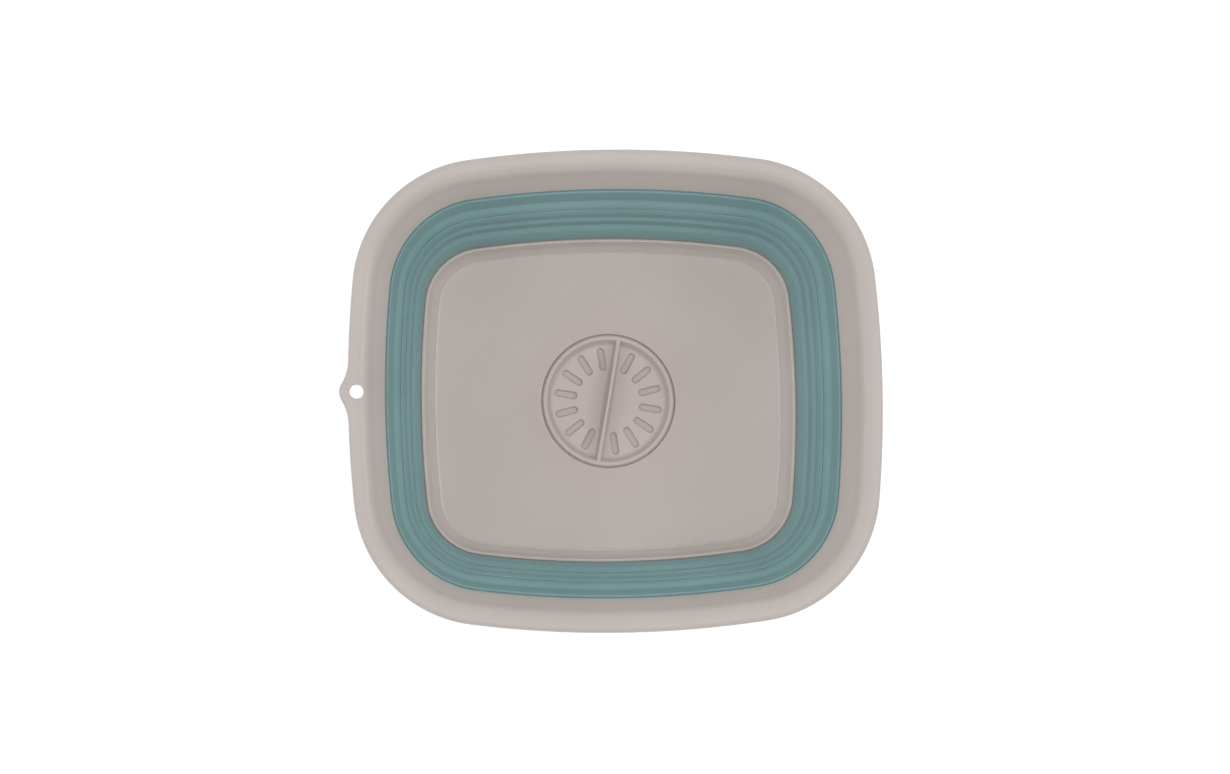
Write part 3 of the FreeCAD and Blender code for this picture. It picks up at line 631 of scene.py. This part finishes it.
def make_base():
    """Base tray: land, sloped edge, floor, drain well with a shelf and a seat, and the foot."""
    tongue_lean = LOWER_LEAN * (BASE_TONGUE_END - LOWER_JOINT_HEIGHT)
    inner = LOWER_JOINT_INSET - TONGUE_MARGIN
    outer = LOWER_JOINT_INSET - JOINT_THICKNESS
    underside = FLOOR_HEIGHT - FLOOR_THICKNESS
    groove = LOWER_JOINT_INSET + LAND_GROOVE
    foot = outer + FOOT_DRAFT
    edge = FLOOR_INSET + UNDER_ROUND
    top = rounded(
        [
            (outer, LOWER_JOINT_HEIGHT),
            (outer + TONGUE_MARGIN, LOWER_JOINT_HEIGHT),
            (outer + TONGUE_MARGIN - tongue_lean, BASE_TONGUE_END),
            (inner - tongue_lean, BASE_TONGUE_END),
            (inner, LOWER_JOINT_HEIGHT),
            (inner + JOINT_BEVEL, LOWER_JOINT_HEIGHT),
            (inner + JOINT_BEVEL, LOWER_JOINT_HEIGHT - GROOVE_DEPTH),
            (groove - LAND_EDGE, LOWER_JOINT_HEIGHT - GROOVE_DEPTH),
            (groove, LOWER_JOINT_HEIGHT, LAND_EDGE),
            (LOWER_JOINT_INSET + LAND_WIDTH, LOWER_JOINT_HEIGHT, LAND_RADIUS),
            (SLOPE_INSET, SLOPE_HEIGHT, SLOPE_RADIUS),
            (SLOPE_END_INSET, SLOPE_END_HEIGHT, SLOPE_END_RADIUS),
            (FLOOR_BEAD_INSET, FLOOR_BEAD_HEIGHT, FLOOR_BEAD_RADIUS),
            (FLOOR_INSET, FLOOR_HEIGHT, FLOOR_ROUND),
            (edge, FLOOR_HEIGHT),
        ],
        closed=False,
    )
    well = rounded(
        [
            (WELL_RADIUS + WELL_WALL, FLOOR_HEIGHT),
            (WELL_RADIUS, FLOOR_HEIGHT, WELL_LIP),
            (WELL_RADIUS, SHELF_HEIGHT, WELL_EDGE),
            (SEAT_RADIUS, SHELF_HEIGHT, WELL_EDGE),
            (SEAT_RADIUS, SEAT_HEIGHT, WELL_EDGE),
            (OUTLET_RADIUS, SEAT_HEIGHT, OUTLET_EDGE),
            (OUTLET_RADIUS, SEAT_HEIGHT - WELL_WALL, OUTLET_EDGE),
            (SEAT_RADIUS + WELL_WALL, SEAT_HEIGHT - WELL_WALL, WELL_EDGE),
            (SEAT_RADIUS + WELL_WALL, SHELF_HEIGHT - WELL_WALL, WELL_EDGE),
            (WELL_RADIUS + WELL_WALL, SHELF_HEIGHT - WELL_WALL, WELL_EDGE),
            (WELL_RADIUS + WELL_WALL, underside, WELL_EDGE),
            (WELL_RADIUS + 2 * WELL_WALL, underside),
        ],
        closed=False,
    )
    under = rounded(
        [
            (edge, underside),
            (SLOPE_END_INSET, underside, UNDER_ROUND + FLOOR_THICKNESS),
            (outer + FOOT_WALL, LOWER_JOINT_HEIGHT - CROTCH_DEPTH, FOOT_EDGE),
            (foot + FOOT_WALL, 0, FOOT_EDGE),
            (foot, 0, FOOT_EDGE),
            (outer, LOWER_JOINT_HEIGHT),
        ],
        closed=False,
    )
    top_rows = [plan.row(*place) for place in top]
    well_rows = [plan.circle(*place) for place in well]
    under_rows = [plan.row(*place) for place in under[:-1]]
    rows = (
        top_rows
        + rows_between(top_rows[-1], well_rows[0])
        + well_rows
        + rows_between(well_rows[-1], under_rows[0])
        + under_rows
    )
    base = swept_piece("base_moulding", rows)
    before = len(top_rows) + FLOOR_RINGS - 1
    # Painted shade in the well below the plug: its rows count as grooves
    painted_shade_rows = [before + place for place, (_, height) in enumerate(well) if height < SEAL_TOP]
    add_curvature(base, rows, painted_shade_rows)
    finish_mesh(base)
    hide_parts("base_tray")
    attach(base, "base")
    return base


def rows_between(first, last):
    """Even rows of points from one row to another, without the two themselves."""
    return [first + (last - first) * part / FLOOR_RINGS for part in range(1, FLOOR_RINGS)]


def turned_piece(name, section):
    """A solid turned about the drain's axis, from radii and heights that start and end on it."""
    steps = PLUG_STEPS
    angles = np.linspace(0, 2 * math.pi, steps, endpoint=False)
    around = np.column_stack([np.cos(angles), np.sin(angles)])
    rows = [
        np.column_stack([around * radius, np.full(steps, height)]) for radius, height in section[1:-1]
    ]
    vertices = np.vstack([*rows, [(0, 0, section[0][1])], [(0, 0, section[-1][1])]])
    first, last = len(vertices) - 2, len(vertices) - 1
    faces = []
    for step in range(steps):
        after = (step + 1) % steps
        for row in range(len(rows) - 1):
            low, high = row * steps, (row + 1) * steps
            faces.append((low + step, low + after, high + after, high + step))
        end = (len(rows) - 1) * steps
        faces.append((first, after, step))
        faces.append((last, end + step, end + after))
    piece = new_piece(name, vertices, faces)
    finish_mesh(piece)
    return piece


def make_slots():
    """All slots of the dish as upright cutters with round ends, a little wider at the top."""
    half = SLOT_WIDTH / 2
    angles = np.linspace(-math.pi / 2, math.pi / 2, SLOT_ARC_STEPS + 1)
    arc = np.column_stack([np.cos(angles), np.sin(angles)])
    count = 2 * len(arc)
    levels = []
    for height in (DISH_TOP - 2 * DISH_THICKNESS, DISH_TOP + DISH_THICKNESS):
        above_middle = height - DISH_TOP + DISH_THICKNESS / 2
        radius = half + SLOT_DRAFT * above_middle / (DISH_THICKNESS / 2)
        outer_end = arc * radius + [SLOT_OUTER - half, 0]
        inner_end = [SLOT_INNER + half, 0] - arc * radius
        levels.append((np.vstack([outer_end, inner_end]), height))
    vertices, faces = [], []
    for side in (0, 180):
        for number in range(SLOTS_PER_SIDE):
            angle = math.radians(side + SLOT_PITCH * (number - (SLOTS_PER_SIDE - 1) / 2))
            cosine = math.cos(angle)
            sine = math.sin(angle)
            turn = np.array([[cosine, sine], [-sine, cosine]])
            first = len(vertices)
            for outline, height in levels:
                vertices += [(*point, height) for point in outline @ turn]
            faces.append(tuple(first + step for step in range(count))[::-1])
            second = first + count
            faces.append(tuple(second + step for step in range(count)))
            for step in range(count):
                after = (step + 1) % count
                faces.append((first + step, first + after, second + after, second + step))
    slots = new_piece("slot_cutter", vertices, faces)
    finish_mesh(slots)
    return slots


def make_bar():
    """Lifting bar across the dish, arched and widest in the middle, with a narrow ridge."""
    rows = []
    for share in np.linspace(-1, 1, BAR_STEPS + 1):
        top = BAR_TOP + (BAR_END_TOP - BAR_TOP) * share**2
        half = (BAR_MIDDLE_WIDTH + (BAR_END_WIDTH - BAR_MIDDLE_WIDTH) * share**2) / 2
        ridge = (BAR_RIDGE + (BAR_END_RIDGE - BAR_RIDGE) * share**2) / 2
        # At its ends the foot rises with the dish's slope, so that it stays inside the dish
        foot = BAR_FOOT + (BAR_END_FOOT - BAR_FOOT) * share**BAR_FOOT_POWER
        edge = top - BAR_CROWN
        scoop = np.linspace(0, math.pi / 2, BAR_FLANK_STEPS)
        flank = [
            (
                half - (half - ridge) * math.sin(angle),
                foot + (edge - foot) * (1 - math.cos(angle)),
            )
            for angle in scoop
        ]
        crown = [
            (ridge * part, edge + BAR_CROWN * (1 - part**2)) for part in BAR_CROWN_SHARES
        ]
        right_side = flank + crown
        section = right_side + [(0, top)] + [(-x, z) for x, z in reversed(right_side)]
        rows.append(np.array([(x, BAR_REACH * share, z) for x, z in section]))
    bar = swept_piece("bar_blank", rows, ring=False)
    finish_mesh(bar)
    return bar


def make_strainer():
    """Slotted dish with a raised ring, the lifting bar and the pin for the stopper."""
    underside = DISH_TOP - DISH_THICKNESS
    dish = turned_piece(
        "strainer_dish",
        rounded(
            [
                (0, PIN_END),
                (PIN_RADIUS, PIN_END, SOFT_EDGE),
                (PIN_RADIUS, underside),
                (DISH_RADIUS, underside),
                (PLUG_RADIUS, RING_TOP - RING_SKIRT),
                (SEAL_RADIUS, RING_TOP - RING_SKIRT + SEAL_EDGE),
                (SEAL_RADIUS, SEAL_TOP, SEAL_EDGE),
                (PLUG_RADIUS, SEAL_TOP),
                (PLUG_RADIUS, RING_TOP, RING_EDGE),
                (PLUG_RADIUS - RING_WIDTH, RING_TOP, RING_EDGE),
                (DISH_RADIUS, DISH_TOP, DISH_ROUND),
                (0, DISH_TOP),
            ],
            closed=False,
        ),
    )
    combine(dish, make_slots(), "DIFFERENCE")
    combine(dish, make_bar(), "UNION")
    finish_mesh(dish)
    dish.data.transform(Matrix.Rotation(-math.radians(BAR_ANGLE), 4, "Z"))
    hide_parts("strainer_cup")
    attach(dish, "strainer")
    return dish


# Colours are linear
TAUPE_LIGHT = (0.558, 0.497, 0.463, 1)
TAUPE_DEEP = (0.522, 0.463, 0.430, 1)
TAUPE_WORN = (0.72, 0.665, 0.63, 1)
# Painted shade, mixed into grooves and creases and onto the rim's top
TAUPE_PAINTED_SHADE = (0.20, 0.19, 0.18, 1)
# Painted shade for the floor towards the drain
TAUPE_DRAIN_PAINTED_SHADE = (0.26, 0.17, 0.15, 1)
TEAL_LIGHT = (0.204, 0.333, 0.341, 1)
TEAL_DEEP = (0.175, 0.294, 0.301, 1)
# Pale worn edges of the wall, and its painted light on upright and low faces
TEAL_WORN_AND_PAINTED_LIGHT = (0.25, 0.395, 0.405, 1)
# Painted shade, mixed into the wall's grooves and creases
TEAL_PAINTED_SHADE = (0.06, 0.10, 0.10, 1)
RUBBER_LIGHT = (0.075, 0.076, 0.078, 1)
RUBBER_DEEP = (0.045, 0.046, 0.048, 1)
RUBBER_WORN = (0.12, 0.12, 0.12, 1)
# Painted shade, mixed into grooves and creases
RUBBER_PAINTED_SHADE = (0.02, 0.02, 0.02, 1)

# Painted gradients, each from one distance to another by a share: by height, painted shade
# darkens the rim's top and painted light pales the lower wall, and painted shade darkens the
# floor towards the drain
# Painted shade on the rim's top
RIM_TOP_PAINTED_SHADE = (112.0, 123.5, 0.20)
# Painted light on the lower wall
LOWER_WALL_PAINTED_LIGHT = (56.0, 34.0, 0.45)
# Painted shade on the floor and the plug towards the drain
DRAIN_PAINTED_SHADE = (135.0, 55.0, 0.21)
PLUG_DRAIN_PAINTED_SHADE = (135.0, 55.0, 0.13)
# Painted light on the wall's upright faces
UPRIGHT_PAINTED_LIGHT = 0.5

# Noise, in cells per metre: clouds in the colour, patches in the wear, uneven gloss and low
# dents. Each material has its own grain, and the relief is finer than that by a factor
CLOUD_SCALE = 14
PATCH_SCALE = 180
GLOSS_SCALE = 55
DENT_SCALE = 45
RELIEF_FINER = 1.6
# Octaves of the noise in the colour, in the speckle and in the surface
COLOR_DETAIL = 3
SPECKLE_DETAIL = 1
SURFACE_DETAIL = 2
# Where each effect starts and where it is complete, on the noise, the bend or the levelness
CLOUD_RANGE = (0.35, 0.65)
SPECKLE_RANGE = (0.3, 0.7)
GLOSS_RANGE = (0.3, 0.7)
PATCH_RANGE = (0.4, 0.6)
EDGE_RANGE = (0.05, 1.2)
GROOVE_RANGE = (-0.3, -2.0)
STEEP_RANGE = (0.05, 0.4)
# How strong each effect is
CLOUD_SHARE = 0.75
SPECKLE_SHARE = 0.25
PATCH_LEAST = 0.3
EDGE_SHARE = 0.6
DENT_SHARE = 0.6
GLOSS_SPREAD = 0.04
RELIEF_DEPTH = 0.2


class Nodes:
    """Builds one material, node by node."""

    def __init__(self, name):
        self.material = bpy.data.materials.new(name)
        self.material.use_nodes = True
        self.tree = self.material.node_tree
        self.shader = self.tree.nodes["Principled BSDF"]
        self.coordinates = self.add("ShaderNodeTexCoord")
        self.place = self.coordinates.outputs["Object"]

    def add(self, kind, **inputs):
        """A node whose inputs are given by name, each a value or another node's output."""
        node = self.tree.nodes.new(kind)
        for name, value in inputs.items():
            self.connect(value, node.inputs[name.replace("_", " ")])
        return node

    def connect(self, value, socket):
        if isinstance(value, bpy.types.NodeSocket):
            self.tree.links.new(value, socket)
        else:
            socket.default_value = value

    def noise(self, scale, detail):
        """Noise whose grains are about one over scale metres wide."""
        node = self.add("ShaderNodeTexNoise", Vector=self.place, Scale=scale, Detail=detail)
        return node.outputs["Fac"]

    def between(self, value, low, high, to_low, to_high):
        """A value moved from one range to another, and kept within it."""
        node = self.add("ShaderNodeMapRange", Value=value)
        node.inputs["From Min"].default_value = low
        node.inputs["From Max"].default_value = high
        node.inputs["To Min"].default_value = to_low
        node.inputs["To Max"].default_value = to_high
        return node.outputs["Result"]

    def mixed(self, share, first, second):
        """Two colours mixed by a share."""
        node = self.tree.nodes.new("ShaderNodeMix")
        node.data_type = "RGBA"
        self.connect(share, node.inputs["Factor"])
        colors = [socket for socket in node.inputs if socket.type == "RGBA"]
        self.connect(first, colors[0])
        self.connect(second, colors[1])
        return [socket for socket in node.outputs if socket.type == "RGBA"][0]

    def maths(self, operation, first, second):
        """Two values put together by a named operation."""
        node = self.tree.nodes.new("ShaderNodeMath")
        node.operation = operation
        self.connect(first, node.inputs[0])
        self.connect(second, node.inputs[1])
        return node.outputs[0]

    def height(self):
        """Height above the floor in the rest pose, in metres."""
        return self.add("ShaderNodeSeparateXYZ", Vector=self.place).outputs["Z"]

    def from_drain(self):
        """Distance from the middle of the drain, in metres."""
        node = self.tree.nodes.new("ShaderNodeVectorMath")
        node.operation = "LENGTH"
        self.connect(self.place, node.inputs[0])
        return node.outputs["Value"]

    def levelness(self):
        """Zero on upright faces and one on level faces, in the rest pose."""
        facing = self.add("ShaderNodeSeparateXYZ", Vector=self.coordinates.outputs["Normal"])
        node = self.tree.nodes.new("ShaderNodeMath")
        node.operation = "ABSOLUTE"
        self.connect(facing.outputs["Z"], node.inputs[0])
        return node.outputs[0]

    def curvature(self):
        """The bend stored on each point: over 0 on edges, under 0 in grooves, where it brings painted
        shade.
        """
        node = self.tree.nodes.new("ShaderNodeAttribute")
        node.attribute_name = "curvature"
        return node.outputs["Fac"]


def moulded_material(
    name,
    light,
    deep,
    worn_and_painted_light,
    crease_painted_shade,
    grain,
    roughness,
    bump,
    groove_share,
    specular,
    painted_gradients=(),
    upright_painted_light=0.0,
):
    """Moulded plastic or rubber: clouded colour, fine speckle, pale worn edges, painted shade in
    grooves and painted light on upright faces.

    Each painted gradient of light or shade is a measure, a distance where it starts, one where it
    ends, a share and a tint.
    """
    nodes = Nodes(name)
    clouds = nodes.between(nodes.noise(CLOUD_SCALE, COLOR_DETAIL), *CLOUD_RANGE, 0, 1)
    speckle = nodes.between(nodes.noise(grain, SPECKLE_DETAIL), *SPECKLE_RANGE, 0, 1)
    share = nodes.maths(
        "ADD",
        nodes.maths("MULTIPLY", clouds, CLOUD_SHARE),
        nodes.maths("MULTIPLY", speckle, SPECKLE_SHARE),
    )
    color = nodes.mixed(share, deep, light)
    patches = nodes.between(nodes.noise(PATCH_SCALE, COLOR_DETAIL), *PATCH_RANGE, PATCH_LEAST, 1)
    edge = nodes.between(nodes.curvature(), *EDGE_RANGE, 0, EDGE_SHARE)
    color = nodes.mixed(nodes.maths("MULTIPLY", edge, patches), color, worn_and_painted_light)
    # Painted shade: grooves and creases are mixed towards the dark colour
    groove = nodes.between(nodes.curvature(), *GROOVE_RANGE, 0, groove_share)
    color = nodes.mixed(groove, color, crease_painted_shade)
    # Painted gradients of light and shade, by height and by distance from the drain
    for measure, (start, end, most), tint in painted_gradients:
        graded = nodes.between(measure(nodes), start * MM, end * MM, 0, most)
        color = nodes.mixed(graded, color, tint)
    # Painted light: upright faces are mixed towards the pale colour
    steep = nodes.between(nodes.levelness(), *STEEP_RANGE, upright_painted_light, 0)
    color = nodes.mixed(steep, color, worn_and_painted_light)
    nodes.connect(color, nodes.shader.inputs["Base Color"])
    gloss = nodes.noise(GLOSS_SCALE, SURFACE_DETAIL)
    rough = nodes.between(
        gloss, *GLOSS_RANGE, roughness - GLOSS_SPREAD, roughness + GLOSS_SPREAD
    )
    nodes.connect(rough, nodes.shader.inputs["Roughness"])
    fine = nodes.noise(grain * RELIEF_FINER, SURFACE_DETAIL)
    dents = nodes.maths("MULTIPLY", nodes.noise(DENT_SCALE, SURFACE_DETAIL), DENT_SHARE)
    height = nodes.maths("ADD", fine, dents)
    relief = nodes.add("ShaderNodeBump", Height=height, Strength=bump, Distance=RELIEF_DEPTH * MM)
    nodes.connect(relief.outputs["Normal"], nodes.shader.inputs["Normal"])
    nodes.connect(specular, nodes.shader.inputs["Specular IOR Level"])
    return nodes.material


def taupe_plastic(name, drain_painted_shade):
    """Stiff satin plastic, with painted shade on the rim's top and towards the drain."""
    return moulded_material(
        name,
        light=TAUPE_LIGHT,
        deep=TAUPE_DEEP,
        worn_and_painted_light=TAUPE_WORN,
        crease_painted_shade=TAUPE_PAINTED_SHADE,
        grain=420,
        roughness=0.34,
        bump=0.04,
        groove_share=0.35,
        specular=0.45,
        painted_gradients=[
            # Painted shade: darker towards the rim's top
            (Nodes.height, RIM_TOP_PAINTED_SHADE, TAUPE_PAINTED_SHADE),
            # Painted shade: darker towards the drain
            (Nodes.from_drain, drain_painted_shade, TAUPE_DRAIN_PAINTED_SHADE),
        ],
    )


def make_materials():
    """Plastic of the rim and base, plastic of the plug, the wall's rubber and the stopper's rubber."""
    plastic = taupe_plastic("satin_taupe_plastic", DRAIN_PAINTED_SHADE)
    plug = taupe_plastic("plug_taupe_plastic", PLUG_DRAIN_PAINTED_SHADE)
    rubber = moulded_material(
        "soft_teal_rubber",
        light=TEAL_LIGHT,
        deep=TEAL_DEEP,
        worn_and_painted_light=TEAL_WORN_AND_PAINTED_LIGHT,
        crease_painted_shade=TEAL_PAINTED_SHADE,
        grain=700,
        roughness=0.62,
        bump=0.08,
        groove_share=0.27,
        specular=0.3,
        # Painted light: lighter towards the wall's foot
        painted_gradients=[(Nodes.height, LOWER_WALL_PAINTED_LIGHT, TEAL_WORN_AND_PAINTED_LIGHT)],
        upright_painted_light=UPRIGHT_PAINTED_LIGHT,
    )
    seal = moulded_material(
        "dark_seal_rubber",
        light=RUBBER_LIGHT,
        deep=RUBBER_DEEP,
        worn_and_painted_light=RUBBER_WORN,
        crease_painted_shade=RUBBER_PAINTED_SHADE,
        grain=800,
        roughness=0.66,
        bump=0.2,
        groove_share=0.35,
        specular=0.3,
    )
    return plastic, plug, rubber, seal


def dress(piece, material):
    """Gives a piece its material."""
    piece.data.materials.clear()
    piece.data.materials.append(material)


# Camera: sizes of the picture and places in it in pixels, tilts and roll in degrees
IMAGE_WIDTH = 1230
IMAGE_HEIGHT = 774
TARGET = Vector((0, 0, 80))
CAMERA_DISTANCE = 2000.0
CAMERA_TILT_X = -3.25
CAMERA_TILT_Y = -4.3
CAMERA_ROLL = 0.78
FOCAL_PIXELS = 2806.6
TARGET_PIXEL = (613.4, 394.05)
SENSOR_WIDTH = 36.0


def make_camera():
    """Camera almost straight above the bowl, with its picture shifted to the bowl's place."""
    data = bpy.data.cameras.new("camera")
    camera = bpy.data.objects.new("camera", data)
    bpy.context.scene.collection.objects.link(camera)
    lean_x = math.tan(math.radians(CAMERA_TILT_X))
    lean_y = math.tan(math.radians(CAMERA_TILT_Y))
    roll = math.radians(CAMERA_ROLL)
    back = Vector((lean_x, lean_y, 1)).normalized()
    hint = Vector((math.sin(roll), math.cos(roll), 0))
    right = hint.cross(back).normalized()
    up = back.cross(right)
    turn = Matrix((right, up, back)).transposed().to_4x4()
    place = (TARGET + back * CAMERA_DISTANCE) * MM
    camera.matrix_world = Matrix.Translation(place) @ turn
    data.sensor_fit = "HORIZONTAL"
    data.sensor_width = SENSOR_WIDTH
    data.lens = FOCAL_PIXELS * SENSOR_WIDTH / IMAGE_WIDTH
    data.shift_x = (IMAGE_WIDTH / 2 - TARGET_PIXEL[0]) / IMAGE_WIDTH
    data.shift_y = (TARGET_PIXEL[1] - IMAGE_HEIGHT / 2) / IMAGE_WIDTH
    bpy.context.scene.camera = camera


def seen_directly(tree):
    """One for rays that show the background: from the camera, reflected or passed through."""
    path = tree.nodes.new("ShaderNodeLightPath")
    total = path.outputs["Is Camera Ray"]
    for name in ("Is Glossy Ray", "Is Transmission Ray"):
        either = tree.nodes.new("ShaderNodeMath")
        either.operation = "MAXIMUM"
        tree.links.new(total, either.inputs[0])
        tree.links.new(path.outputs[name], either.inputs[1])
        total = either.outputs[0]
    return total


# Stage, in metres. It shows white and lights the bowl with less
WHITE = (1, 1, 1, 1)
SKY_STRENGTH = 0.735
STAGE_SIZE = 8.0
STAGE_ALBEDO = 0.8
STAGE_GLOW = 0.45


def make_world():
    """Background that shows white and lights the bowl more softly."""
    world = bpy.data.worlds.new("studio")
    bpy.context.scene.world = world
    world.use_nodes = True
    tree = world.node_tree
    shown = tree.nodes["Background"]
    shown.inputs["Color"].default_value = WHITE
    shown.inputs["Strength"].default_value = 1
    light = tree.nodes.new("ShaderNodeBackground")
    light.inputs["Color"].default_value = WHITE
    light.inputs["Strength"].default_value = SKY_STRENGTH
    mix = tree.nodes.new("ShaderNodeMixShader")
    tree.links.new(seen_directly(tree), mix.inputs["Fac"])
    tree.links.new(light.outputs[0], mix.inputs[1])
    tree.links.new(shown.outputs[0], mix.inputs[2])
    tree.links.new(mix.outputs[0], tree.nodes["World Output"].inputs["Surface"])


def make_floor():
    """Pale floor that shows white and keeps the bowl's shadow."""
    mesh = bpy.data.meshes.new("floor")
    half = STAGE_SIZE / 2
    corners = [(-half, -half, 0), (half, -half, 0), (half, half, 0), (-half, half, 0)]
    mesh.from_pydata(corners, [], [(0, 1, 2, 3)])
    floor = bpy.data.objects.new("floor", mesh)
    bpy.context.scene.collection.objects.link(floor)
    material = bpy.data.materials.new("white_floor")
    material.use_nodes = True
    tree = material.node_tree
    tree.nodes.remove(tree.nodes["Principled BSDF"])
    matte = tree.nodes.new("ShaderNodeBsdfDiffuse")
    matte.inputs["Color"].default_value = (STAGE_ALBEDO, STAGE_ALBEDO, STAGE_ALBEDO, 1)
    glow = tree.nodes.new("ShaderNodeEmission")
    strength = tree.nodes.new("ShaderNodeMath")
    strength.operation = "MULTIPLY"
    strength.inputs[1].default_value = STAGE_GLOW
    tree.links.new(seen_directly(tree), strength.inputs[0])
    tree.links.new(strength.outputs[0], glow.inputs["Strength"])
    both = tree.nodes.new("ShaderNodeAddShader")
    tree.links.new(matte.outputs[0], both.inputs[0])
    tree.links.new(glow.outputs[0], both.inputs[1])
    tree.links.new(both.outputs[0], tree.nodes["Material Output"].inputs["Surface"])
    mesh.materials.append(material)


# Softboxes: name, place, width, height and power in watts
LIGHT_TARGET = (0, 0, 0.05)
SOFTBOXES = [
    ("overhead_softbox", (0.1, -0.4, 2.6), 2.2, 2.2, 12.5),
    ("right_softbox", (2.0, 0.3, 1.7), 1.0, 0.7, 10),
    ("left_softbox", (-2.2, 0.2, 1.5), 2.4, 1.6, 13),
    ("back_softbox", (0, 2.2, 1.5), 2.4, 1.6, 2.5),
]


def make_softbox(name, place, width, height, power):
    """An area light that faces the middle of the bowl."""
    data = bpy.data.lights.new(name, "AREA")
    data.shape = "RECTANGLE"
    data.size = width
    data.size_y = height
    data.energy = power
    lamp = bpy.data.objects.new(name, data)
    bpy.context.scene.collection.objects.link(lamp)
    lamp.location = place
    toward = Vector(LIGHT_TARGET) - Vector(place)
    lamp.rotation_euler = toward.to_track_quat("-Z", "Y").to_euler()


plastic, plug, rubber, seal = make_materials()
dress(make_rim(), plastic)
dress(make_wall(), rubber)
dress(make_base(), plastic)
dress(make_strainer(), plug)
dress(frame["nodes"]["drain_stopper"], seal)
dress(frame["nodes"]["stopper_retainer"], plug)
make_camera()
make_world()
make_floor()
for softbox in SOFTBOXES:
    make_softbox(*softbox)
bpy.context.scene.view_settings.view_transform = "Standard"
